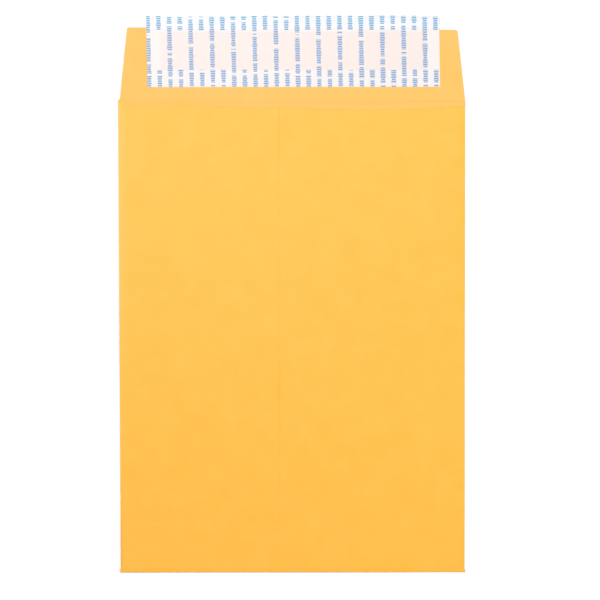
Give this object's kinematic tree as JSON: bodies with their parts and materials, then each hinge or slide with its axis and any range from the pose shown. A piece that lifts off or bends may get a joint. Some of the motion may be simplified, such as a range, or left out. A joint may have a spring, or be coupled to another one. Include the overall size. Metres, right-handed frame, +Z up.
{
  "type": "catalog envelope",
  "caption": "Flat kraft catalog envelope, opening at its short end, with a lapped seam down the back, a glued bottom flap and an open seal flap whose adhesive is under a white liner.",
  "frame": {"origin": "centre of the pocket's underside, on the surface that the envelope lies on", "axes": "+Z up, out of the seamed back; +Y along the envelope from its bottom flap to its seal flap; +X across it"},
  "size_m": [0.2296, 0.3674, 0.0016],
  "materials": {
    "kraft_paper": "matt, uncoated, golden-yellow",
    "adhesive": "tacky, translucent off-white",
    "liner_paper": "smooth, silicone coated, white",
    "seam_gum": "dried, pale"
  },
  "bodies": {
    "root": {"envelope_sheet": "kraft_paper", "adhesive_strip": "adhesive", "release_liner": "liner_paper", "centre_seam_glue": "seam_gum", "bottom_flap_glue": "seam_gum"}
  },
  "joints": []
}
